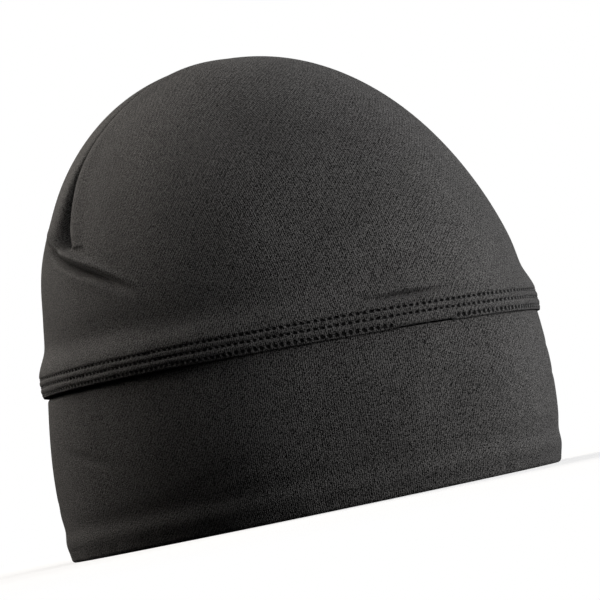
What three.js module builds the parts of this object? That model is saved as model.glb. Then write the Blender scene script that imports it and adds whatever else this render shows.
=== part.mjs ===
// A close-fitting winter cap of black stretch jersey, in the form it has on a head: a domed crown sewn to a
// deep band of doubled cloth, with a raised welt over the join.
// Millimetres, +Z up. The front of the cap faces -Y, and the ears are at -X and +X. The origin is on the
// plane that the rim rests on, under the middle of the whole cap.

import * as THREE from "three";

// Driving dimensions.
const RIM_BACK = 2.7; // the rim's middle lies this far behind the origin
const HALF_WIDTH = 79; // of the rim, ear to ear
const HALF_DEPTH = 97; // of the rim, brow to nape
const OVAL_POWER = 2.14; // 2 would make the oval an ellipse, and more makes it squarer
const WIDER_BEHIND = 0.05; // the oval is this share wider behind, and as much narrower in front

const JOIN_HEIGHT = 55.4; // of the join between band and crown, in the middle of its slope
const JOIN_UP_BEHIND = 1.9; // the join is this much higher at the nape, and lower at the brow
const JOIN_UP_RIGHT = 2.2; // and this much higher over the wearer's right ear
const JOIN_DEPTH = 0.985; // its oval, as a share of the rim's, brow to nape
const JOIN_FORWARD = 5.5; // the oval of the join sits this far in front of the rim's

const TOP_HEIGHT = 162; // of the crown's highest point
const TOP_BACK = 9.5; // that point lies this far behind the middle
const DOME_SHOULDER = 1.86; // a larger power keeps the dome wide for longer
const DOME_ROUND = 2.2; // a larger power closes it flatter on top

const CROWN_WALL = 1.2; // one layer of jersey
const BAND_WALL = 2.6; // two layers, and the air in their soft fold
const BAND_BULGE = 1.8; // how far the band swells between rim and join
const FOLD_ROUNDING = 0.5; // at each side of the rim, which is pressed flat where it rests
const FOLD_RISE = 1.2; // height at which the fold reaches the band's full thickness
const GAP = 0.3; // clearance between the two pieces

const WELT_WALL = 3.4; // crown cloth over the turned seam allowances
const WELT_PROUD = 1.4; // how far the welt stands out
const WELT_TALL = 7; // it carries three rows of stitches
const WELT_FADE = 5; // height over which it runs out into the crown
const WELT_ROUNDING = 0.8; // of its lower edge, over the ditch
const BAND_TUCK = 1.4; // how far the band's top edge draws in under the welt

const COLUMNS = 80; // round the cap
const SIDE_CROWDING = 0.22; // moves columns towards the ears, where the puckers are

// The shaping seam that runs over the crown from ear to ear. rise is the share of the way from the join to
// the top, turn is degrees behind the ear line, and depth and half are the groove's depth and half width.
const ARC_SEAM = [
  { rise: 0.0, turn: 0, depth: 0.0, half: 5 },
  { rise: 0.42, turn: 10, depth: 0.0, half: 5 },
  { rise: 0.47, turn: 11.4, depth: 0.8, half: 6 },
  { rise: 0.52, turn: 12.4, depth: 4.6, half: 6 },
  { rise: 0.58, turn: 13.1, depth: 4.2, half: 5.5 },
  { rise: 0.65, turn: 13.4, depth: 2.6, half: 5 },
  { rise: 0.73, turn: 13, depth: 1.4, half: 4.5 },
  { rise: 0.86, turn: 9, depth: 0.8, half: 4.5 },
  { rise: 1.0, turn: 0, depth: 0.5, half: 4.5 },
];

// The pucker that closes each end of that seam: a soft ridge with a crease under it, running forwards and
// down. Each fold is out from the surface by size, at a height offset from the pucker's own line.
const PUCKER_HEIGHT = 105.2;
const PUCKER_SLOPE = 0.4; // the folds drop this much for each millimetre forwards
const PUCKER_REACH = 36; // forwards of the seam
const PUCKER_BACK_REACH = 32; // behind it
const PUCKER_FOLDS = [
  { offset: 1.2, size: 2.2, half: 2.8 },
  { offset: -3.6, size: -2.6, half: 2.6 },
];

// A faint hollow that the stretched cloth makes over the welt.
const HOLLOW = { above: 17, depth: 0.9, half: 6 };

// Heights of the crown's rows of faces, as shares of the way from the join to the top.
const LOW_ROWS = [0, 0.012, 0.04, 0.066, 0.09, 0.115, 0.16, 0.21, 0.26];
const PUCKER_ROWS = { from: 0.3, to: 0.56, count: 13 };
const HIGH_ROWS = [0.59, 0.65, 0.71, 0.77, 0.825, 0.87, 0.91, 0.94, 0.965, 0.985, 0.996];

const DEGREE = Math.PI / 180;

// Values of a table's columns at one place, on straight lines between its rows.
function lookUp(table, key, value) {
  const next = Math.max(1, table.findIndex((row) => row[key] >= value));
  const [low, high] = [table[next - 1], table[next]];
  const share = (value - low[key]) / (high[key] - low[key]);
  const mixed = {};
  for (const column of Object.keys(low)) {
    mixed[column] = THREE.MathUtils.lerp(low[column], high[column], share);
  }
  return mixed;
}

// 1 on the line of a fold or groove, falling away to nothing at about twice its half width.
function bell(distance, half) {
  return Math.exp(-((distance / half) ** 2));
}

// 1 below the first value and 0 above the second, with a soft change between them.
function fade(value, full, gone) {
  return 1 - THREE.MathUtils.smoothstep(value, full, gone);
}

// A point of the head's oval. The turn is in radians from +X towards +Y, which is the back.
function oval(turn) {
  const power = 2 / OVAL_POWER;
  const across = Math.sign(Math.cos(turn)) * Math.abs(Math.cos(turn)) ** power;
  const along = Math.sign(Math.sin(turn)) * Math.abs(Math.sin(turn)) ** power;
  const width = HALF_WIDTH * (1 + WIDER_BEHIND * along);
  return new THREE.Vector3(across * width, along * HALF_DEPTH, 0);
}

function joinHeight(turn) {
  return JOIN_HEIGHT + JOIN_UP_BEHIND * Math.sin(turn) - JOIN_UP_RIGHT * Math.cos(turn);
}

function joinPoint(turn) {
  const point = oval(turn);
  point.z = joinHeight(turn);
  point.y = point.y * JOIN_DEPTH - JOIN_FORWARD;
  return point;
}

// The band's smooth outer face. The share is 0 at the rim and 1 at the join.
function bandFace(turn, share) {
  const point = oval(turn).lerp(joinPoint(turn), share);
  const swell = BAND_BULGE * 4 * share * (1 - share);
  return point.addScaledVector(outwards(turn), swell);
}

// The level direction straight out from the oval.
function outwards(turn) {
  const step = 0.001;
  const along = oval(turn + step).sub(oval(turn - step)).normalize();
  return new THREE.Vector3(along.y, -along.x, 0);
}

// The crown's smooth outer face. The rise is 0 at the join and 1 at the top.
function crownFace(turn, rise) {
  const point = joinPoint(turn);
  const reach = domeReach(rise);
  const middle = -JOIN_FORWARD * (1 - rise) + TOP_BACK * rise ** 2;
  point.x *= reach;
  point.y = (point.y + JOIN_FORWARD) * reach + middle;
  point.z += (TOP_HEIGHT - point.z) * rise;
  return point;
}

// The dome's width at a rise, as a share of its width at the join.
function domeReach(rise) {
  return (1 - rise ** DOME_SHOULDER) ** (1 / DOME_ROUND);
}

function crownNormal(turn, rise) {
  const [turnStep, riseStep] = [0.002, 0.002];
  const low = Math.max(0, rise - riseStep);
  const round = crownFace(turn + turnStep, rise).sub(crownFace(turn - turnStep, rise));
  const upwards = crownFace(turn, rise + riseStep).sub(crownFace(turn, low));
  return round.cross(upwards).normalize();
}

// How far the welt, the arc seam, the puckers and the hollow move the crown's face out, in millimetres. The
// column is the turn before the seam draws it back, so the seam lies at columns 0 and half a circle.
function crownRelief(column, rise, point) {
  const aboveJoin = point.z - joinHeight(column);
  const seam = lookUp(ARC_SEAM, "rise", rise);
  const aside = -Math.sin(column) * HALF_DEPTH * domeReach(rise);

  const rounding = WELT_ROUNDING * fade(aboveJoin, GAP, GAP + 1);
  const welt = WELT_PROUD * fade(aboveJoin, WELT_TALL, WELT_TALL + WELT_FADE) - rounding;
  const hollow = -HOLLOW.depth * bell(aboveJoin - HOLLOW.above, HOLLOW.half);
  const groove = -seam.depth * bell(aside, seam.half);

  const reach = fade(aside, 8, PUCKER_REACH) * fade(-aside, 0, PUCKER_BACK_REACH);
  let pucker = 0;
  for (const fold of PUCKER_FOLDS) {
    const line = PUCKER_HEIGHT - PUCKER_SLOPE * aside + fold.offset;
    pucker += fold.size * bell(point.z - line, fold.half) * reach;
  }
  return welt + hollow + groove + pucker;
}

// The crown's wall is thicker in the welt.
function crownWall(aboveJoin) {
  return CROWN_WALL + (WELT_WALL - CROWN_WALL) * fade(aboveJoin, WELT_TALL, WELT_TALL + WELT_FADE);
}

// One ring of the crown's outer or inner face.
function crownRing(rise, inner) {
  const ring = [];
  for (let i = 0; i < COLUMNS; i += 1) {
    const column = columnTurn(i);
    const turn = column + lookUp(ARC_SEAM, "rise", rise).turn * DEGREE * Math.cos(column);
    const point = crownFace(turn, rise);
    const normal = crownNormal(turn, rise);
    const relief = crownRelief(column, rise, point);
    const wall = inner ? crownWall(point.z - joinHeight(column)) : 0;
    point.z += GAP * (1 - rise);
    ring.push(point.addScaledVector(normal, relief - wall));
  }
  return ring;
}

function columnTurn(index) {
  const even = (index / COLUMNS) * 2 * Math.PI;
  return even - SIDE_CROWDING * Math.sin(2 * even);
}

// One ring of the band: a height over the rim or under the join, and how far in from the outer face.
function bandRing({ over, under, inset }) {
  const ring = [];
  for (let i = 0; i < COLUMNS; i += 1) {
    const turn = columnTurn(i);
    const height = joinHeight(turn);
    const share = over === undefined ? 1 - under / height : over / height;
    ring.push(bandFace(turn, share).addScaledVector(outwards(turn), -inset));
  }
  return ring;
}

// A closed solid through rings of points. The ends are two points that close it, or are left out when the
// last ring meets the first again.
function ringSolid(rings, firstEnd, lastEnd) {
  const positions = rings.flat().flatMap((point) => point.toArray());
  const faces = [];
  const pairs = firstEnd ? rings.length - 1 : rings.length;
  for (let r = 0; r < pairs; r += 1) {
    const here = r * COLUMNS;
    const next = ((r + 1) % rings.length) * COLUMNS;
    for (let i = 0; i < COLUMNS; i += 1) {
      const j = (i + 1) % COLUMNS;
      faces.push(here + i, here + j, next + j);
      faces.push(here + i, next + j, next + i);
    }
  }
  if (firstEnd) {
    const first = rings.length * COLUMNS;
    const last = first + 1;
    const top = (rings.length - 1) * COLUMNS;
    positions.push(...firstEnd.toArray(), ...lastEnd.toArray());
    for (let i = 0; i < COLUMNS; i += 1) {
      const j = (i + 1) % COLUMNS;
      faces.push(first, j, i);
      faces.push(last, top + i, top + j);
    }
  }
  const geometry = new THREE.BufferGeometry();
  geometry.setAttribute("position", new THREE.Float32BufferAttribute(positions, 3));
  geometry.setIndex(faces);
  geometry.computeVertexNormals();
  return geometry;
}

// The crown: down its inner face, over the welt's lower edge, and up its outer face to the top.
function crownGeometry() {
  const { from, to, count } = PUCKER_ROWS;
  const puckerRows = Array.from({ length: count }, (_, i) => from + ((to - from) * i) / (count - 1));
  const outerRows = [...LOW_ROWS, ...puckerRows, ...HIGH_ROWS];
  const innerRows = outerRows.filter((_, i) => i % 2 === 0).reverse();
  const rings = [];
  for (const rise of innerRows) {
    rings.push(crownRing(rise, true));
  }
  for (const rise of outerRows) {
    rings.push(crownRing(rise, false));
  }
  const top = new THREE.Vector3(0, TOP_BACK, TOP_HEIGHT - lookUp(ARC_SEAM, "rise", 1).depth);
  const underTop = top.clone().setZ(top.z - CROWN_WALL);
  return ringSolid(rings, underTop, top);
}

// The band: up its outer face, over its top edge, down its inner face and round the fold at the rim.
function bandGeometry() {
  const inner = BAND_WALL;
  const section = [
    { over: 0, inset: FOLD_ROUNDING },
    { over: FOLD_RISE, inset: 0 },
    { over: 11, inset: 0 },
    { over: 28, inset: 0 },
    { under: 11, inset: 0 },
    { under: 1.6, inset: 0 },
    { under: 0, inset: BAND_TUCK },
    { under: 0, inset: inner - FOLD_ROUNDING },
    { under: 1.6, inset: inner },
    { under: 11, inset: inner },
    { over: 28, inset: inner },
    { over: 11, inset: inner },
    { over: FOLD_RISE, inset: inner },
    { over: 0, inset: inner - FOLD_ROUNDING },
  ];
  return ringSolid(section.map(bandRing));
}

function clothMesh(name, geometry, colour) {
  const material = new THREE.MeshStandardMaterial({ color: colour, roughness: 0.8, metalness: 0 });
  const mesh = new THREE.Mesh(geometry, material);
  mesh.name = name;
  return mesh;
}

const cap = new THREE.Group();
cap.position.y = RIM_BACK;
cap.add(clothMesh("crown", crownGeometry(), 0x242322));
cap.add(clothMesh("band", bandGeometry(), 0x211f1f));

export default cap;
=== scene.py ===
"""A close-fitting winter cap of black stretch jersey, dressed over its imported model.

The shapes are worked out in millimetres, from the same sizes as the part's source, and turned into metres as
each mesh is made. The front of the cap faces -Y, and its rim rests on the floor.
"""

import math

import bpy
import numpy as np
from mathutils import Matrix, Vector


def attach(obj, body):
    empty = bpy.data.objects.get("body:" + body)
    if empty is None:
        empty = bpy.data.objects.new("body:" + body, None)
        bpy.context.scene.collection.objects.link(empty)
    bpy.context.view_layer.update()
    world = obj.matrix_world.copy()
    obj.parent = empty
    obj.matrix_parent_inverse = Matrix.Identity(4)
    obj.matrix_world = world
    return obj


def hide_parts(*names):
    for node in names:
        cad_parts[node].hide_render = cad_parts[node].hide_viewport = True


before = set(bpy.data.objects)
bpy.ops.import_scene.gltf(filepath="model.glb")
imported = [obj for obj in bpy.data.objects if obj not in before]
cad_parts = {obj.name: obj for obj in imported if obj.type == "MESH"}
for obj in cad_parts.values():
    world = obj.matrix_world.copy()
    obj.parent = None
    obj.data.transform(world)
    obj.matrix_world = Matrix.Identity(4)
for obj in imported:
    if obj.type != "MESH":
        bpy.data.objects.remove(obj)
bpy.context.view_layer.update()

MM = 0.001
DEGREE = math.pi / 180

# The cap's main sizes, as in the part's source.
RIM_BACK = 2.7
HALF_WIDTH = 79
HALF_DEPTH = 97
OVAL_POWER = 2.14
WIDER_BEHIND = 0.05
JOIN_HEIGHT = 55.4
JOIN_UP_BEHIND = 1.9  # the join is this much higher at the nape, and lower at the brow
JOIN_UP_RIGHT = 2.2  # and this much higher over the wearer's right ear
JOIN_DEPTH = 0.985
JOIN_FORWARD = 5.5
TOP_HEIGHT = 162
TOP_BACK = 9.5
DOME_SHOULDER = 1.86
DOME_ROUND = 2.2
CROWN_WALL = 1.2
BAND_WALL = 2.6
BAND_BULGE = 1.8
GAP = 0.3

# The welt over the join, and the band's edge that draws in under it.
WELT_WALL = 3.4
WELT_PROUD = 1.4
WELT_PROUD_RIGHT = 0.7  # more over the wearer's right ear, which is at the left of the picture
WELT_RIGHT_EAR = {"turn": 172, "half": 42}
WELT_UNEVEN = {"size": 0.12, "waves": 17}
WELT_TALL = 6.0
WELT_FADE = 11
WELT_EDGE_RADIUS = 0.5
WELT_DROOP = {"size": 0.6, "tall": 2.5}  # its edge hangs lower everywhere but over the right ear
# The hollow under its edge: how far in, and up.
WELT_LIP = ((2.2, 1.6), (1.0, 1.5), (0.55, 0.9), (0.4, 0.15))
BAND_EDGE_TALL = 0.4
BAND_EDGE_TALL_RIGHT = {"size": 2.0, "turn": 165, "half": 34}  # more where the welt stands out further
BAND_TUCK = 2.3

# The soft fold at the rim: a roll with a dip over it. Then the slack of the doubled cloth and its uneven rim.
BAND_ROLL = {"height": (6.5, 11.5), "half": (3.2, 3.5), "size": (0.45, -0.35)}
BAND_SLACK = {"size": 0.3, "waves": 6}
BAND_UNEVEN = {"size": 0.15, "waves": 23, "full": 2, "gone": 8}

# Three rows of stitches, each in a furrow of its own.
ROW_HEIGHTS = (1.0, 3.6, 6.2)
ROW_FURROW = {"depth": 0.4, "half": 0.6}
ROW_UNEVEN = {"depth": 0.2, "depth_waves": 41, "line": 0.12, "line_waves": 13}
ROW_SHIFT = 0.4  # each row's stitches lie this share of a pitch behind those of the row under it
STITCH_PITCH = 2.3
STITCH_LENGTH = 0.7
STITCH_RADIUS = 0.18
STITCH_SLANT = 0.22
PIT_LENGTH = 1.6
PIT_TALL = 1.25

# Where the welt's seam starts and finishes, its edge is rolled up for a short way, which ends in a step.
OVERLAP = {"start": 254.5, "end": 270, "lift": 0.6, "lift_tall": 5, "ease": 3.0, "step": 0.5}
LOOSE_ENDS = {"count": 90, "at_step": 16, "height": 0.55, "length": 1.2, "radius": 0.1}
NEXT_COLUMN = 0.004  # radians ahead, to find which way a row runs
NO_STITCHES = -50.0  # a height over the join that is far from any row

# The seam over the crown, from ear to ear. rise is the share of the way from the join to the top, turn is
# degrees behind the ear line, depth the groove's depth, and front and back its half widths on either side.
ARC_SEAM = {
    "rise": (0.0, 0.43, 0.455, 0.48, 0.52, 0.57, 0.65, 0.73, 0.86, 1.0),
    "turn": (0.0, 7.8, 8.4, 9.0, 9.8, 10.6, 11.7, 12.1, 8.8, 0.0),
    "depth": (0.0, 0.0, 1.0, 9.0, 15.5, 14.5, 8.5, 2.8, 1.0, 0.8),
    "front": (3.0, 3.0, 2.8, 2.0, 1.4, 1.3, 1.0, 0.8, 0.6, 0.6),
    "back": (8.0, 8.0, 7.6, 7.6, 7.4, 6.6, 4.8, 2.6, 1.2, 1.0),
}
ARC_STITCHES = {"first": 0.5, "last": 0.985, "out": 0.18, "slant": 0.7, "length": 1.1, "radius": 0.2}
PLUMP = {"beside": 5.0, "size": 0.5, "half": 4.0, "depth": 1.5}  # the cloth swells beside the groove
SLACK = {"behind": 19, "over": 8, "size": 1.0, "half": 7, "tall": 6}  # and behind it, over the pucker

# The pucker that closes each end of it: folds out from the surface, at heights offset from the pucker's line.
PUCKER_HEIGHT = 103.4
PUCKER_SLOPE = 0.4
PUCKER_CURVE = 0.004
PUCKER_LEFT = 0.9  # the size of the one over the wearer's left ear, as a share of the other's
PUCKER_FOLDS = {
    "offset": (-0.1, -3.2, -7.0),
    "size": (2.0, -5.0, 0.4),
    "half": (1.5, 1.6, 3.0),
    "reach": (36, 33, 30),
    "back_reach": (28, 24, 24),
}
PUCKER_SAG = 1.5  # the upper fold hangs this far over the crease
PUCKER_ROWS = {"full": 9, "gone": 36, "aside": 44}  # how far from the pucker's line the mesh's rows follow it

# The meshes' columns, and which of the outer face's rows the crown's inner face keeps: more of them near the
# pucker's height.
COLUMNS = 480
INNER_ROWS = {"near": 8, "every": 2, "every_elsewhere": 6}

# The soft hollow over the welt, and the crown's slack.
HOLLOW = {"above": 17, "depth": 0.5, "half": 6}
CROWN_SLACK = {"size": 0.25, "waves": 7}

# Faint creases of the stretched cloth: middle turn in degrees, height over the join or the rim, half lengths
# along and across, slope in millimetres of height for each millimetre round, and how far out.
CROWN_CREASES = {
    "turn": (261, 259, 300, 205, 120, 60, 20, 150, 146),
    "height": (10.3, 12.5, 12, 13, 11, 13, 12, 26, 60),
    "along": (11, 11, 12, 14, 14, 12, 10, 24, 18),
    "across": (0.8, 1.7, 2.2, 2.2, 1.8, 2.2, 2.2, 13, 9),
    "slope": (0.02, 0.02, -0.06, 0.05, 0.03, -0.05, 0.04, 0, 0),
    "size": (-2.2, 0.9, -0.3, -0.25, -0.5, -0.3, -0.3, -1.4, -0.7),
}
BAND_CREASES = {
    "turn": (312, 318, 306, 262, 214, 172, 150, 96, 40, 8),
    "height": (37, 30, 25, 44, 20, 34, 18, 30, 22, 36),
    "along": (16, 13, 12, 20, 24, 13, 11, 22, 16, 14),
    "across": (1.6, 1.5, 1.8, 2.6, 3.0, 1.8, 2.0, 2.8, 2.2, 2.0),
    "slope": (0.32, 0.4, 0.3, -0.12, 0.2, -0.3, -0.25, 0.15, -0.3, 0.3),
    "size": (-0.35, -0.3, -0.25, -0.25, -0.3, -0.35, -0.3, -0.3, -0.35, -0.3),
}

# Camera: the photograph's angle, roll, distance and lens, raised so far that it is above the floor.
VIEW_AZIMUTH = -33.7
VIEW_ELEVATION = -2.5
VIEW_ROLL = 11.9
VIEW_DISTANCE = 1.40
LENS = 240.9
AIM = (0.0062, -0.0040, 0.0735)


def lerp(low, high, share):
    return low + (high - low) * share


def bell(distance, half):
    """1 on the line of a fold or groove, falling away to nothing at about twice its half width."""
    return np.exp(-((distance / half) ** 2))


def fade(value, full, gone):
    """1 below the first value and 0 above the second, with a soft change between them."""
    share = np.clip((value - full) / (gone - full), 0, 1)
    return 1 - share * share * (3 - 2 * share)


def smooth_column(table, key, column, value):
    """A column of a table at the values of its key, on a smooth curve through its rows."""
    keys, rows = np.array(table[key], float), np.array(table[column], float)
    slopes = np.gradient(rows, keys)
    low = np.clip(np.searchsorted(keys, value) - 1, 0, len(keys) - 2)
    span = keys[low + 1] - keys[low]
    share = np.clip((value - keys[low]) / span, 0, 1)
    rising = share * share * (3 - 2 * share)
    start, end = share * (1 - share) ** 2 * span, -share * share * (1 - share) * span
    return rows[low] * (1 - rising) + rows[low + 1] * rising + slopes[low] * start + slopes[low + 1] * end


def wobble(turn, waves, seed):
    """A smooth uneven line round the cap, from about -1 to 1, with so many waves in a turn."""
    parts = [np.sin(round(waves * k) * turn + seed * 2.4 * k) / k for k in (1, 1.7, 2.9)]
    return sum(parts) / 1.5


def oval(turn):
    """Points of the head's oval. The turn is in radians from +X towards +Y, which is the back."""
    power = 2 / OVAL_POWER
    across = np.sign(np.cos(turn)) * np.abs(np.cos(turn)) ** power
    along = np.sign(np.sin(turn)) * np.abs(np.sin(turn)) ** power
    return np.stack([across * HALF_WIDTH * (1 + WIDER_BEHIND * along), along * HALF_DEPTH, 0 * along], -1)


def join_height(turn):
    return JOIN_HEIGHT + JOIN_UP_BEHIND * np.sin(turn) - JOIN_UP_RIGHT * np.cos(turn)


def join_points(turn):
    points = oval(turn)
    points[..., 1] = points[..., 1] * JOIN_DEPTH - JOIN_FORWARD
    points[..., 2] = join_height(turn)
    return points


def unit(vectors):
    return vectors / np.maximum(np.linalg.norm(vectors, axis=-1, keepdims=True), 1e-12)


def outwards(turn):
    """The level direction straight out from the oval."""
    step = 0.001
    along = unit(oval(turn + step) - oval(turn - step))
    return np.stack([along[..., 1], -along[..., 0], 0 * along[..., 0]], -1)


def dome_reach(rise):
    return (1 - rise**DOME_SHOULDER) ** (1 / DOME_ROUND)


def crown_face(turn, rise):
    """The crown's smooth outer face. The rise is 0 at the join and 1 at the top."""
    points = join_points(turn)
    reach = dome_reach(rise)
    points[..., 0] *= reach
    points[..., 1] = (points[..., 1] + JOIN_FORWARD) * reach - JOIN_FORWARD * (1 - rise) + TOP_BACK * rise**2
    points[..., 2] += (TOP_HEIGHT - points[..., 2]) * rise
    return points


def crown_normal(turn, rise):
    """The direction out of that face."""
    step = 0.002
    high, low = np.minimum(rise + step, 0.9999), np.maximum(rise - step, 0)
    round_it = crown_face(turn + step, rise) - crown_face(turn - step, rise)
    return unit(np.cross(round_it, crown_face(turn, high) - crown_face(turn, low)))


def creases(table, turn, height, radius):
    """How far a table of short, soft creases moves a face out."""
    total = 0 * turn
    for middle, level, along, across, slope, size in zip(*table.values()):
        away = (turn / DEGREE - middle + 180) % 360 - 180
        round_it = away * DEGREE * radius
        total = total + size * bell(round_it, along) * bell(height - level - slope * round_it, across)
    return total


def overlap_share(turn):
    """1 where the welt's edge is rolled up, easing in at the start and ending in a step."""
    degrees = turn / DEGREE % 360
    ease, step = OVERLAP["ease"], OVERLAP["step"]
    starts = 1 - fade(degrees, OVERLAP["start"], OVERLAP["start"] + ease)
    return starts * fade(degrees, OVERLAP["end"], OVERLAP["end"] + step)


def beside_turn(turn, place):
    """1 at a turn given in degrees, falling away on both sides of it."""
    return bell((turn / DEGREE % 360) - place["turn"], place["half"])


def row_line(turn, row):
    """The height over the join of a row of stitches, which wavers a little."""
    return ROW_HEIGHTS[row] + ROW_UNEVEN["line"] * wobble(turn, ROW_UNEVEN["line_waves"], row)


def welt_relief(turn, above):
    """How far out the welt's rounded edge lies, with its furrows under the stitches and the rolls between."""
    proud = WELT_PROUD + WELT_PROUD_RIGHT * beside_turn(turn, WELT_RIGHT_EAR)
    proud = proud + WELT_UNEVEN["size"] * wobble(turn, WELT_UNEVEN["waves"], 1)
    relief = proud * fade(above, WELT_TALL, WELT_TALL + WELT_FADE)
    inside = np.clip((WELT_EDGE_RADIUS - (above - GAP)) / WELT_EDGE_RADIUS, 0, 1)
    relief = relief - WELT_EDGE_RADIUS * (1 - np.sqrt(1 - inside**2))
    for k in range(len(ROW_HEIGHTS)):
        shown = 1 - 0.8 * overlap_share(turn) if k == 0 else 1
        uneven = 1 + ROW_UNEVEN["depth"] * wobble(turn, ROW_UNEVEN["depth_waves"], k + 3)
        furrow = bell(above - row_line(turn, k), ROW_FURROW["half"])
        relief = relief - ROW_FURROW["depth"] * uneven * shown * furrow
    return relief


def pucker_drop(aside):
    """How far the pucker's line rises or falls, so far in front of the seam."""
    return -PUCKER_SLOPE * aside - PUCKER_CURVE * aside * np.abs(aside)


def rows_at_pucker(columns, rises):
    """The rises of the rows for each column, bent so that they follow the pucker's line near it."""
    tall = TOP_HEIGHT - JOIN_HEIGHT
    middle = (PUCKER_HEIGHT - JOIN_HEIGHT) / tall
    aside = -np.sin(columns)[None] * HALF_DEPTH * dome_reach(middle)
    drop = pucker_drop(aside) * fade(np.abs(aside), PUCKER_ROWS["aside"] * 0.6, PUCKER_ROWS["aside"])
    near = fade(np.abs(rises - middle)[:, None] * tall, PUCKER_ROWS["full"], PUCKER_ROWS["gone"])
    return rises[:, None] + near * drop / tall


def crown_relief(column, turn, rise, height):
    """How far the welt, the seam, the puckers and the creases move the crown's face out, and its sag."""
    above = height - join_height(column)
    reach = dome_reach(rise)
    aside = -np.sin(column) * HALF_DEPTH * reach
    side = np.where(np.cos(column) < 0, 1.0, PUCKER_LEFT)

    seam = {name: smooth_column(ARC_SEAM, "rise", name, rise) for name in ("depth", "front", "back")}
    half = np.where(aside > 0, seam["front"], seam["back"])
    depth = np.maximum(seam["depth"], 0)
    groove = -depth * side * bell(aside, half)
    beside_groove = bell(aside - PLUMP["beside"], PLUMP["half"])
    swelling = PLUMP["size"] * np.minimum(depth, PLUMP["depth"]) * beside_groove
    behind = bell(aside + SLACK["behind"], SLACK["half"])
    over = bell(height - PUCKER_HEIGHT - SLACK["over"], SLACK["tall"])
    swelling = swelling + SLACK["size"] * behind * over

    folds, sag = 0, 0
    line = PUCKER_HEIGHT + pucker_drop(aside)
    for i, values in enumerate(zip(*PUCKER_FOLDS.values())):
        offset, size, width, forward, backward = values
        shown = fade(aside, 2, forward) * fade(-aside, 0, backward) * side
        folds = folds + size * shown * bell(height - line - offset, width)
        if i == 0:
            sag = -PUCKER_SAG * shown * bell(height - line - offset + 1.5, width * 0.8)

    hollow = -HOLLOW["depth"] * bell(above - HOLLOW["above"], HOLLOW["half"])
    slack = CROWN_SLACK["size"] * wobble(column, CROWN_SLACK["waves"], 5)
    slack = slack * fade(above, 45, 90) * (1 - fade(above, 8, 20))
    faint = creases(CROWN_CREASES, column, above, HALF_WIDTH) + slack
    return welt_relief(turn, above) + groove + swelling + folds + hollow + faint, sag


def seam_turn(column, rise):
    """The turn of a column at a rise: columns bend backwards over the ears, as the seam does."""
    return column + smooth_column(ARC_SEAM, "rise", "turn", rise) * DEGREE * np.cos(column)


def crown_wall(column, height):
    above = height - join_height(column)
    return CROWN_WALL + (WELT_WALL - CROWN_WALL) * fade(above, WELT_TALL, WELT_TALL + WELT_FADE)


def crown_points(column, rise, inner=False, inset=0.0, up=0.0):
    """Points of the crown's outer or inner face, or so far in from it and up. Columns follow the seam."""
    column, rise = np.broadcast_arrays(column, rise)
    turn = seam_turn(column, rise)
    points, normal = crown_face(turn, rise), crown_normal(turn, rise)
    height = points[..., 2].copy()
    above = height - join_height(column)
    relief, sag = crown_relief(column, turn, rise, height)
    if inner:
        relief = np.minimum(relief, 0.5) - crown_wall(column, height)
        sag = 0
    lift = 0
    if not inner:
        elsewhere = 1 - beside_turn(turn, WELT_RIGHT_EAR)
        droop = WELT_DROOP["size"] * elsewhere * fade(above, 0, WELT_DROOP["tall"])
        lift = OVERLAP["lift"] * overlap_share(turn) * fade(above, 0, OVERLAP["lift_tall"]) - droop
    points[..., 2] += GAP * (1 - rise) + sag + lift + up
    return points + normal * (relief - inset)[..., None]


def column_turns(count, crowding=0.22):
    """Turns round the cap, closer together over the ears."""
    even = np.arange(count) / count * 2 * math.pi
    return even - crowding * np.sin(2 * even)


def crown_rises():
    """Rows of the outer face: close together over the welt and the puckers."""
    tall = TOP_HEIGHT - JOIN_HEIGHT
    welt = np.arange(0, 13.5, 0.34)
    low = np.arange(14, 29, 1.3)
    pucker = np.concatenate([np.arange(30, 42, 1.2), np.arange(42.4, 56, 0.42), np.arange(56.6, 68, 1.2)])
    start = math.acos(68.5 / tall)
    top = np.cos(np.linspace(start, 0.035, 44)) * tall
    return np.concatenate([welt, low, pucker, top]) / tall


def band_points(turn, height, inset):
    """Points of the band's outer face at heights over the rim, drawn in by so much."""
    turn, height, inset = np.broadcast_arrays(turn, height, inset)
    share = height / join_height(turn)
    points = lerp(oval(turn), join_points(turn), share[..., None])
    swell = BAND_BULGE * 4 * share * (1 - share)
    return points + outwards(turn) * (swell - inset)[..., None]


def band_section(turn):
    """The band's rows from the rim up its outer face, over its top edge and down inside: height and inset."""
    top = join_height(turn)
    fold = BAND_WALL / 2
    edge = BAND_EDGE_TALL + BAND_EDGE_TALL_RIGHT["size"] * beside_turn(turn, BAND_EDGE_TALL_RIGHT)
    rows = []
    for angle in np.linspace(0, 90, 7)[1:] * DEGREE:
        rows.append((0 * turn + fold * (1 - math.cos(angle)), fold * (1 - math.sin(angle)) * 0.8))
    for height in np.linspace(fold * 1.5, 1, 62, endpoint=False):
        level = 1.6 + (height - fold * 1.5) / (1 - fold * 1.5) * (top - edge - 1.6)
        rows.append((level, 0.0))
    for angle in np.linspace(0, 80, 7) * DEGREE:
        rows.append((top - edge * (1 - math.sin(angle)), BAND_TUCK * (1 - math.cos(angle))))
    rows.append((top, BAND_WALL - 0.6))
    for share in np.linspace(0.97, 0.03, 12):
        rows.append((top * share, BAND_WALL))
    rows.append((0 * turn + 0.35, BAND_WALL - 0.3))
    rows.append((0 * turn, BAND_WALL - 0.8))
    rows.append((0 * turn, fold * 0.8))
    return rows


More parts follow.
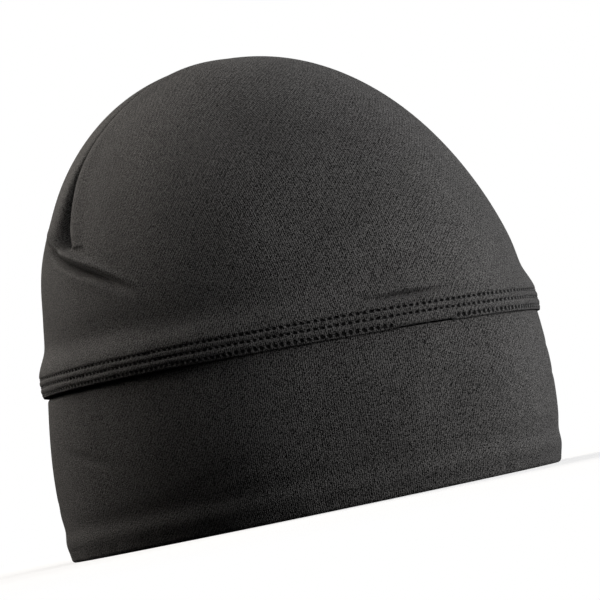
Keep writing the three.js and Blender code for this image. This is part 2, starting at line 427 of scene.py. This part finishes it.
def band_relief(turn, height):
    """The soft fold at the rim, faint creases and slack in the doubled cloth."""
    radius = (HALF_WIDTH + HALF_DEPTH) / 2
    top = join_height(turn)
    roll = sum(size * bell(height - level, half) for level, half, size in zip(*BAND_ROLL.values()))
    slack = BAND_SLACK["size"] * wobble(turn, BAND_SLACK["waves"], 2)
    slack = slack * np.sin(math.pi * np.clip(height / top, 0, 1)) ** 2
    rim = BAND_UNEVEN["size"] * wobble(turn, BAND_UNEVEN["waves"], 7)
    rim = rim * fade(height, BAND_UNEVEN["full"], BAND_UNEVEN["gone"])
    return roll + slack + rim + creases(BAND_CREASES, turn, height, radius)


def run_along(points):
    """The length of a line through points, up to each of them."""
    return np.concatenate([[0], np.cumsum(np.linalg.norm(np.diff(points, axis=0), axis=1))])


CLOTH_TURNS = np.linspace(-math.pi, 3 * math.pi, 8001)
CLOTH_RUNS = run_along(join_points(CLOTH_TURNS))


def cloth_run(turn, panel):
    """Millimetres of cloth along the join, from the middle of the front (3/2 pi) or back panel (1/2 pi)."""
    middle = np.where(panel, 1.5, 0.5) * math.pi
    nearest = turn - 2 * math.pi * np.round((turn - middle) / (2 * math.pi))
    return np.interp(nearest, CLOTH_TURNS, CLOTH_RUNS) - np.interp(middle, CLOTH_TURNS, CLOTH_RUNS)


def beside(values):
    """The values at the next column round."""
    return np.roll(values, -1, axis=1)


def surface_mesh(name, rings, ends=None, maps=()):
    """A closed mesh through rings of points, in metres. Two end points close it, or its last ring meets the
    first again. The maps give each UV map's pairs at both sides of every face: where it starts and ends."""
    rings = np.asarray(rings)
    count, columns = rings.shape[:2]
    points = (rings.reshape(-1, 3) + (0, RIM_BACK, 0)) * MM
    pairs = count if ends is None else count - 1
    here = (np.arange(pairs) * columns)[:, None] + np.arange(columns)
    following = beside(here)
    above, above_following = (here + columns) % (count * columns), (following + columns) % (count * columns)
    faces = np.stack([here, following, above_following, above], -1).reshape(-1, 4).tolist()
    if ends is not None:
        points = np.concatenate([points, (np.asarray(ends) + (0, RIM_BACK, 0)) * MM])
        first, last, top = count * columns, count * columns + 1, (count - 1) * columns
        for i in range(columns):
            j = (i + 1) % columns
            faces.append((first, j, i))
            faces.append((last, top + i, top + j))
    mesh = bpy.data.meshes.new(name)
    mesh.from_pydata(points.tolist(), [], faces)
    for layer, (start, end) in dict(maps).items():
        corners = np.zeros((len(mesh.loops), 2))
        quads = np.stack([start, end, np.roll(end, -1, 0), np.roll(start, -1, 0)], 2)[:pairs]
        corners[: quads.size // 2] = quads.reshape(-1, 2)
        mesh.uv_layers.new(name=layer).data.foreach_set("uv", corners.ravel())
    mesh.shade_smooth()
    mesh.validate()
    piece = bpy.data.objects.new(name, mesh)
    bpy.context.collection.objects.link(piece)
    return piece


def crown_maps(turns, rises, below):
    """The outer face's UV maps: stitch number and height over the join, and the cloth's own millimetres.
    The rings below it, on the inner face and in the hollow, get a height at which there are no stitches."""
    column, rise = np.broadcast_arrays(turns[None], rises)
    turn = seam_turn(column, rise)
    face = crown_face(turn, rise)
    above = face[..., 2] - join_height(column)
    rolled_in = (overlap_share(turn) > 0.3) & (above < (ROW_HEIGHTS[0] + ROW_HEIGHTS[1]) / 2)
    above = np.where(rolled_in, NO_STITCHES, above)
    stitch = np.broadcast_to(stitch_counter(turns), above.shape)
    last = np.arange(len(turns)) == len(turns) - 1
    welt = np.stack([stitch, above], -1), np.stack([beside(stitch) + STITCHES * last, beside(above)], -1)

    steps = np.linalg.norm(np.diff(face, axis=0), axis=-1)
    up = np.concatenate([np.zeros((1, len(turns))), np.cumsum(steps, axis=0)])
    panel = np.sin(column + 0.002) < 0
    reach = dome_reach(rise)
    start = np.stack([cloth_run(turn, panel) * reach, up], -1)
    end = np.stack([cloth_run(beside(turn), panel) * beside(reach), beside(up)], -1)

    maps = {"welt": welt, "cloth": (start, end)}
    for name, sides in maps.items():
        empty = np.full((below, len(turns), 2), NO_STITCHES if name == "welt" else 0.0)
        maps[name] = tuple(np.concatenate([empty, side]) for side in sides)
    return maps


def make_crown():
    turns, rises = column_turns(COLUMNS), crown_rises()
    rows = rows_at_pucker(turns, rises)
    from_pucker = np.abs(rises * (TOP_HEIGHT - JOIN_HEIGHT) - (PUCKER_HEIGHT - JOIN_HEIGHT))
    every = np.where(from_pucker < INNER_ROWS["near"], INNER_ROWS["every"], INNER_ROWS["every_elsewhere"])
    kept = np.flatnonzero(np.arange(len(rises)) % every == 0)[::-1]
    inner = crown_points(turns[None], rows[kept], inner=True)
    lip = [crown_points(turns[None], np.zeros((1, 1)), inset=inset, up=up) for inset, up in WELT_LIP]
    outer = crown_points(turns[None], rows)
    depth = ARC_SEAM["depth"][-1]
    top = (0, TOP_BACK, TOP_HEIGHT - depth)
    under = (0, TOP_BACK, TOP_HEIGHT - depth - CROWN_WALL)
    rings = np.concatenate([inner, *lip, outer])
    return surface_mesh("crown_cloth", rings, (under, top), crown_maps(turns, rows, len(rings) - len(outer)))


def welt_line(level, columns):
    """Points on the welt at a height over the join, and the directions out of the cloth there."""
    rise = level / (TOP_HEIGHT - join_height(columns))
    return crown_points(columns, rise), crown_normal(seam_turn(columns, rise), rise)


def stitch_count():
    """How many stitches go round the welt's middle row."""
    line, _ = welt_line(ROW_HEIGHTS[1], np.linspace(0, 2 * math.pi, 2000))
    return round(float(run_along(line)[-1]) / STITCH_PITCH)


def stitch_counter(columns):
    """How many stitches lie between column 0 and each of these columns, along the welt's middle row."""
    fine = np.linspace(0, 2 * math.pi, 4001)
    line, _ = welt_line(ROW_HEIGHTS[1], fine)
    run = run_along(line)
    return np.interp(columns % (2 * math.pi), fine, run / run[-1] * STITCHES)


def stitch_columns(numbers):
    """The columns at which these stitches lie."""
    fine = np.linspace(0, 2 * math.pi, 4001)
    return np.interp(numbers % STITCHES, stitch_counter(fine[:-1]), fine[:-1])


STITCHES = stitch_count()


def make_threads(name, middles, along, out, length, radius, arch=0.28):
    """Short thread ends that dip into the cloth at both ends, joined into one mesh."""
    sides = 6
    steps = np.array([-0.5, -0.4, -0.16, 0.16, 0.4, 0.5])
    widths = np.array([0.15, 0.7, 1.0, 1.0, 0.7, 0.15])
    angles = np.arange(sides) / sides * 2 * math.pi
    across = unit(np.cross(out, along))
    dip = -arch * (steps / 0.5) ** 2
    centres = middles[:, None] + along[:, None] * (steps * length)[None, :, None]
    centres = centres + out[:, None] * dip[None, :, None]
    ring = across[:, None] * np.cos(angles)[None, :, None] + out[:, None] * np.sin(angles)[None, :, None]
    points = centres[:, :, None] + ring[:, None] * (widths * radius)[None, :, None, None]
    count, rows = len(middles), len(steps)
    base = (np.arange(count) * rows * sides)[:, None, None]
    row = (np.arange(rows - 1) * sides)[None, :, None]
    here = base + row + np.arange(sides)[None, None]
    following = base + row + np.roll(np.arange(sides), -1)[None, None]
    quads = [here, following, following + sides, here + sides]
    faces = np.stack(np.broadcast_arrays(*quads), -1).reshape(-1, 4).tolist()
    for start in (np.arange(count) * rows * sides).tolist():
        last = start + (rows - 1) * sides
        faces.append(tuple(range(start + sides - 1, start - 1, -1)))
        faces.append(tuple(range(last, last + sides)))
    mesh = bpy.data.meshes.new(name)
    mesh.from_pydata(((points.reshape(-1, 3) + (0, RIM_BACK, 0)) * MM).tolist(), [], faces)
    mesh.shade_smooth()
    piece = bpy.data.objects.new(name, mesh)
    bpy.context.collection.objects.link(piece)
    return piece


def make_welt_stitches():
    middles, alongs, outs = [], [], []
    for k in range(len(ROW_HEIGHTS)):
        numbers = np.arange(STITCHES) + 0.5 + ROW_SHIFT * k
        columns = stitch_columns(numbers)
        line = row_line(columns, k)
        points, out = welt_line(line, columns)
        ahead, _ = welt_line(line, columns + NEXT_COLUMN)
        along = unit(ahead - points)
        slant = np.cross(out, along)
        along = unit(along + slant * STITCH_SLANT)
        shown = np.ones(len(columns), bool) if k else overlap_share(columns) < 0.3
        middles.append((points + out * (STITCH_RADIUS * 0.55))[shown])
        alongs.append(along[shown])
        outs.append(out[shown])
    joined = [np.concatenate(part) for part in (middles, alongs, outs)]
    return make_threads("welt_stitches", *joined, STITCH_LENGTH, STITCH_RADIUS)


def make_loose_ends():
    """Short, fuzzy ends of thread and cloth under the rolled part of the welt's edge. Their near-black tone
    is painted shade of the hollow there.
    """
    random = np.random.default_rng(11)
    count, at_step = LOOSE_ENDS["count"], LOOSE_ENDS["at_step"]
    under_edge = random.uniform(OVERLAP["start"] + 1, OVERLAP["end"], count - at_step)
    columns = np.concatenate([under_edge, random.normal(OVERLAP["end"] + 0.3, 0.25, at_step)]) * DEGREE
    height = np.full(count, LOOSE_ENDS["height"])
    points, out = welt_line(height, columns)
    ahead, _ = welt_line(height, columns + NEXT_COLUMN)
    level = unit(ahead - points)
    down = np.cross(level, out) * np.where(np.cross(level, out)[:, 2:] > 0, -1, 1)
    along = unit(down + level * random.normal(0, 0.7, (count, 1)) - out * random.uniform(0, 0.8, (count, 1)))
    points = points - out * random.uniform(0.2, 0.9, (count, 1)) + down * random.uniform(0.0, 0.5, (count, 1))
    length, radius = LOOSE_ENDS["length"], LOOSE_ENDS["radius"]
    return make_threads("loose_ends", points, along, out, length, radius, arch=-0.2)


def make_arc_stitches():
    """Stitches that show in the bottom of the seam over the crown, aslant to it."""
    rises = np.linspace(ARC_STITCHES["first"], ARC_STITCHES["last"], 160)
    middles, alongs, outs = [], [], []
    for column in (0.0, math.pi):
        line = crown_points(np.full_like(rises, column), rises)
        run = run_along(line)
        places = np.interp(np.arange(STITCH_PITCH, run[-1], STITCH_PITCH), run, rises)
        points = crown_points(np.full_like(places, column), places)
        ahead = crown_points(np.full_like(places, column), places + 0.002)
        out = crown_normal(seam_turn(column, places), places)
        seam = unit(ahead - points)
        middles.append(points + out * ARC_STITCHES["out"])
        alongs.append(unit(np.cross(out, seam) + seam * ARC_STITCHES["slant"]))
        outs.append(out)
    joined = [np.concatenate(part) for part in (middles, alongs, outs)]
    return make_threads("arc_stitches", *joined, ARC_STITCHES["length"], ARC_STITCHES["radius"], arch=-0.1)


def make_band():
    turns = column_turns(COLUMNS, 0.1)
    rings, run = [], []
    for height, inset in band_section(turns):
        outer = np.asarray(inset) < BAND_WALL * 0.45
        relief = band_relief(turns, height) if np.all(outer) else 0
        rings.append(band_points(turns, height, inset - relief * np.ones_like(turns)))
        run.append(height * np.ones_like(turns))
    panel = np.sin(turns + 0.002) < 0
    run = np.array(run)
    start = np.stack([cloth_run(turns, panel) + 0 * run, run], -1)
    end = np.stack([cloth_run(np.roll(turns, -1), panel) + 0 * run, beside(run)], -1)
    return surface_mesh("band_cloth", rings, maps={"cloth": (start, end)})


class Shader:
    """Builds a material's nodes. An input's value is a constant or the socket to link to it."""

    def __init__(self, name):
        self.material = bpy.data.materials.new(name)
        self.material.use_nodes = True
        self.tree = self.material.node_tree
        self.tree.nodes.clear()

    def add(self, kind, inputs=(), **settings):
        node = self.tree.nodes.new(kind)
        for name, value in settings.items():
            setattr(node, name, value)
        for name, value in dict(inputs).items():
            if isinstance(value, bpy.types.NodeSocket):
                self.tree.links.new(value, node.inputs[name])
            else:
                node.inputs[name].default_value = value
        return node

    def math(self, operation, first, second=0.0, third=0.0):
        values = {0: first, 1: second}
        if operation == "MULTIPLY_ADD":
            values[2] = third
        if operation in ("ABSOLUTE", "ROUND", "FRACT", "SINE"):
            values = {0: first}
        return self.add("ShaderNodeMath", values, operation=operation).outputs[0]

    def spread(self, value, from_low, from_high, to_low, to_high):
        inputs = {"Value": value, "From Min": from_low, "From Max": from_high}
        inputs.update({"To Min": to_low, "To Max": to_high})
        return self.add("ShaderNodeMapRange", inputs, interpolation_type="SMOOTHSTEP").outputs[0]

    def noise(self, place, scale, detail=2.0, roughness=0.5):
        inputs = {"Vector": place, "Scale": scale, "Detail": detail, "Roughness": roughness}
        return self.add("ShaderNodeTexNoise", inputs).outputs[0]


def pit_mask(shader, place):
    """1 in the stitches' pits on the welt, from the stitch number and the height over the join."""
    welt = shader.add("ShaderNodeUVMap", uv_map="welt").outputs[0]
    split = shader.add("ShaderNodeSeparateXYZ", {0: welt}).outputs
    spacing = ROW_HEIGHTS[1] - ROW_HEIGHTS[0]
    row = shader.math("DIVIDE", shader.math("SUBTRACT", split[1], ROW_HEIGHTS[0]), spacing)
    nearest = shader.math("ROUND", row)
    away = shader.math("MULTIPLY", shader.math("SUBTRACT", row, nearest), spacing / (PIT_TALL / 2))
    shift = shader.math("MULTIPLY", nearest, ROW_SHIFT)
    stitch = shader.math("FRACT", shader.math("SUBTRACT", split[0], shift))
    centred = shader.math("ABSOLUTE", shader.math("SUBTRACT", stitch, 0.5))
    along = shader.math("SUBTRACT", 0.5, centred)
    round_it = shader.math("MULTIPLY", along, STITCH_PITCH / (PIT_LENGTH / 2))
    squares = shader.math("MULTIPLY_ADD", away, away, shader.math("MULTIPLY", round_it, round_it))
    uneven = shader.math("MULTIPLY", shader.math("SUBTRACT", shader.noise(place, 900, 1.0), 0.5), 1.2)
    pit = shader.spread(shader.math("ADD", squares, uneven), 0.3, 1.15, 1.0, 0.0)
    above = shader.math("GREATER_THAN", split[1], ROW_HEIGHTS[0] - spacing / 2)
    below = shader.math("LESS_THAN", split[1], ROW_HEIGHTS[2] + spacing / 2)
    return shader.math("MULTIPLY", pit, shader.math("MULTIPLY", above, below))


# The jersey's wales and the lines that slant over them: millimetres apart, and how strong. The speckle is a
# noise's scale.
WALES = {"pitch": 0.72, "line": 0.07, "slant_pitch": 1.63, "slant": 0.03, "drift": 0.5, "speckle": 3300}


def knit(shader, place):
    """The jersey's loops, from 0 to 1: a speckle, lines along the wales and fainter slanting ones."""
    cloth = shader.add("ShaderNodeUVMap", uv_map="cloth").outputs[0]
    split = shader.add("ShaderNodeSeparateXYZ", {0: cloth}).outputs
    drift = shader.math("SUBTRACT", shader.noise(place, 260, 1.0), 0.5)
    drift = shader.math("MULTIPLY", drift, WALES["drift"])
    across = shader.math("ADD", split[0], drift)
    wale = shader.math("SINE", shader.math("MULTIPLY", across, 2 * math.pi / WALES["pitch"]))
    slanting = shader.math("SUBTRACT", across, split[1])
    slant = shader.math("SINE", shader.math("MULTIPLY", slanting, 2 * math.pi / WALES["slant_pitch"]))
    fine = shader.noise(place, WALES["speckle"], 0.5)
    coarse = shader.noise(place, WALES["speckle"] * 0.55, 0.5)
    speckle = shader.math("ADD", shader.math("MULTIPLY", fine, 0.6), shader.math("MULTIPLY", coarse, 0.4))
    wale_lines = shader.math("MULTIPLY", wale, WALES["line"])
    lines = shader.math("ADD", wale_lines, shader.math("MULTIPLY", slant, WALES["slant"]))
    return shader.math("ADD", speckle, lines)


def jersey(name, tone, with_pits=False):
    """Black stretch jersey: a fine speckle of loops, faint lines of the knit and a soft sheen. With pits, it
    also gets painted shade in the welt's stitch holes.
    """
    shader = Shader(name)
    place = shader.add("ShaderNodeTexCoord").outputs["Object"]
    loops = knit(shader, place)
    patches = shader.noise(place, 22, 3.0, 0.55)
    light = shader.add("ShaderNodeMapRange", {"Value": loops, "From Min": 0.38, "From Max": 0.64}).outputs[0]
    shade = shader.spread(patches, 0.3, 0.7, 0.88, 1.12)
    if with_pits:
        pits = pit_mask(shader, place)
        # The pits darken the base colour to 0.08 of it: painted shade in the stitch holes. The bump below
        # gives their real relief.
        shade = shader.math("MULTIPLY", shade, shader.spread(pits, 0.0, 1.0, 1.0, 0.08))
    depth = shader.math("MULTIPLY", shader.math("MULTIPLY_ADD", light, 3.1, 0.05), shade)
    toned = shader.add("ShaderNodeVectorMath", {0: tone, "Scale": depth}, operation="SCALE").outputs[0]
    height = shader.math("SUBTRACT", loops, shader.math("MULTIPLY", pits, 2.0)) if with_pits else loops
    bump = shader.add("ShaderNodeBump", {"Strength": 1.0, "Distance": 0.0004, "Height": height}).outputs[0]
    surface = shader.add(
        "ShaderNodeBsdfPrincipled",
        {
            "Base Color": toned,
            "Roughness": 0.72,
            "Specular IOR Level": 0.05,
            "Sheen Weight": 0.04,
            "Sheen Roughness": 0.4,
            "Sheen Tint": (0.9, 0.9, 0.92, 1.0),
            "Normal": bump,
        },
    )
    shader.add("ShaderNodeOutputMaterial", {"Surface": surface.outputs[0]})
    return shader.material


def thread(name, tone):
    """Black polyester thread, a little glossier than the cloth, with a fine twist."""
    shader = Shader(name)
    place = shader.add("ShaderNodeTexCoord").outputs["Object"]
    twist = shader.noise(place, 3200, 1.0, 0.5)
    base = shader.add("ShaderNodeMapRange", {"Value": twist, "To Min": 0.5, "To Max": 1.6}).outputs[0]
    toned = shader.add("ShaderNodeVectorMath", {0: tone, "Scale": base}, operation="SCALE").outputs[0]
    bump = shader.add("ShaderNodeBump", {"Strength": 0.7, "Distance": 0.0001, "Height": twist}).outputs[0]
    surface = shader.add(
        "ShaderNodeBsdfPrincipled",
        {
            "Base Color": toned,
            "Roughness": 0.5,
            "Specular IOR Level": 0.4,
            "Sheen Weight": 0.2,
            "Normal": bump,
        },
    )
    shader.add("ShaderNodeOutputMaterial", {"Surface": surface.outputs[0]})
    return shader.material


def backdrop_paint():
    """Matt black that glows an even white."""
    shader = Shader("backdrop_paint")
    surface = shader.add(
        "ShaderNodeBsdfPrincipled",
        {
            "Base Color": (0, 0, 0, 1),
            "Roughness": 0.9,
            "Specular IOR Level": 0.1,
            "Emission Color": (1, 1, 1, 1),
            "Emission Strength": 1.0,
        },
    )
    shader.add("ShaderNodeOutputMaterial", {"Surface": surface.outputs[0]})
    return shader.material


def floor_paint():
    """Matt pale paint with a glow of its own, which runs out into the light backdrop with hardly a line."""
    shader = Shader("floor_paint")
    place = shader.add("ShaderNodeTexCoord").outputs["Object"]
    away = shader.add("ShaderNodeVectorMath", {0: place}, operation="LENGTH").outputs["Value"]
    share = shader.spread(away, 0.12, 0.6, 0.0, 1.0)
    near = shader.add(
        "ShaderNodeBsdfPrincipled",
        {
            "Base Color": (0.25, 0.25, 0.25, 1),
            "Roughness": 0.9,
            "Emission Color": (1, 1, 1, 1),
            "Emission Strength": 0.6,
        },
    )
    far = shader.add("ShaderNodeEmission", {"Color": (1, 1, 1, 1), "Strength": 1.0})
    mixed = shader.add("ShaderNodeMixShader", {0: share, 1: near.outputs[0], 2: far.outputs[0]})
    shader.add("ShaderNodeOutputMaterial", {"Surface": mixed.outputs[0]})
    return shader.material


def view_axes(azimuth, elevation, roll):
    """The camera's right, up and back directions for a view round the object."""
    a, e, r = azimuth * DEGREE, elevation * DEGREE, roll * DEGREE
    back = Vector((math.sin(a) * math.cos(e), -math.cos(a) * math.cos(e), math.sin(e)))
    level = Vector((math.cos(a), math.sin(a), 0))
    upright = back.cross(level)
    right = level * math.cos(r) - upright * math.sin(r)
    up = level * math.sin(r) + upright * math.cos(r)
    return right, up, back


def make_camera():
    data = bpy.data.cameras.new("camera")
    data.lens, data.sensor_width = LENS, 36
    data.clip_start, data.clip_end = 0.05, 30
    camera = bpy.data.objects.new("camera", data)
    bpy.context.collection.objects.link(camera)
    right, up, back = view_axes(VIEW_AZIMUTH, VIEW_ELEVATION, VIEW_ROLL)
    place = Vector(AIM) + back * VIEW_DISTANCE
    turned = Matrix((right, up, back)).transposed().to_4x4()
    camera.matrix_world = Matrix.Translation(place) @ turned
    bpy.context.scene.camera = camera


def softbox(name, azimuth, elevation, distance, size, power, colour=(1, 1, 1)):
    """A square soft light that looks at the cap from a direction counted as the views are."""
    data = bpy.data.lights.new(name, "AREA")
    data.shape, data.size, data.size_y = "RECTANGLE", size, size
    data.energy, data.color = power, colour
    light = bpy.data.objects.new(name, data)
    bpy.context.collection.objects.link(light)
    right, up, back = view_axes(azimuth, elevation, 0)
    turned = Matrix((right, up, back)).transposed().to_4x4()
    light.matrix_world = Matrix.Translation(Vector((0, 0, 0.08)) + back * distance) @ turned


def make_studio():
    bpy.ops.mesh.primitive_circle_add(vertices=96, radius=6, fill_type="NGON", location=(0, 0, 0))
    floor = bpy.context.object
    floor.name = "floor"
    floor.data.materials.append(floor_paint())
    floor.visible_diffuse = False
    floor.visible_glossy = False

    bpy.ops.mesh.primitive_uv_sphere_add(segments=64, ring_count=32, radius=8, location=(0, 0, 0))
    backdrop = bpy.context.object
    backdrop.name = "backdrop"
    backdrop.data.materials.append(backdrop_paint())
    backdrop.visible_diffuse = False
    backdrop.visible_glossy = False
    backdrop.visible_transmission = False
    backdrop.visible_shadow = False

    world = bpy.data.worlds.new("studio")
    bpy.context.scene.world = world
    world.use_nodes = True
    background = world.node_tree.nodes["Background"]
    background.inputs["Color"].default_value = (0.96, 0.97, 1.0, 1)
    background.inputs["Strength"].default_value = 0.02

    softbox("right_back", VIEW_AZIMUTH + 120, elevation=9, distance=1.4, size=0.9, power=18)
    softbox("left_back", VIEW_AZIMUTH - 128, 34, distance=1.4, size=0.9, power=28, colour=(1.0, 0.94, 0.87))
    softbox("front_right", VIEW_AZIMUTH + 54, elevation=10, distance=1.4, size=0.9, power=26.5)
    softbox("overhead", VIEW_AZIMUTH + 20, elevation=70, distance=1.4, size=0.4, power=5)
    bpy.context.scene.view_settings.view_transform = "Standard"


# Base colours.
CLOTH = (0.0275, 0.0266, 0.0261)
THREAD = (0.020, 0.019, 0.019)
# LOOSE is far darker than the thread and cloth. On the real loose ends it is painted shade of the hollow
# under the welt's rolled edge.
LOOSE = (0.006, 0.006, 0.006)

crown = make_crown()
crown.data.materials.append(jersey("crown_jersey", CLOTH, with_pits=True))
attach(crown, "root")
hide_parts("crown")

band = make_band()
band.data.materials.append(jersey("band_jersey", CLOTH))
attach(band, "root")
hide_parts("band")

tones = (THREAD, LOOSE, THREAD)
for piece, tone in zip((make_welt_stitches(), make_loose_ends(), make_arc_stitches()), tones):
    piece.data.materials.append(thread(piece.name + "_thread", tone))
    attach(piece, "root")

make_camera()
make_studio()
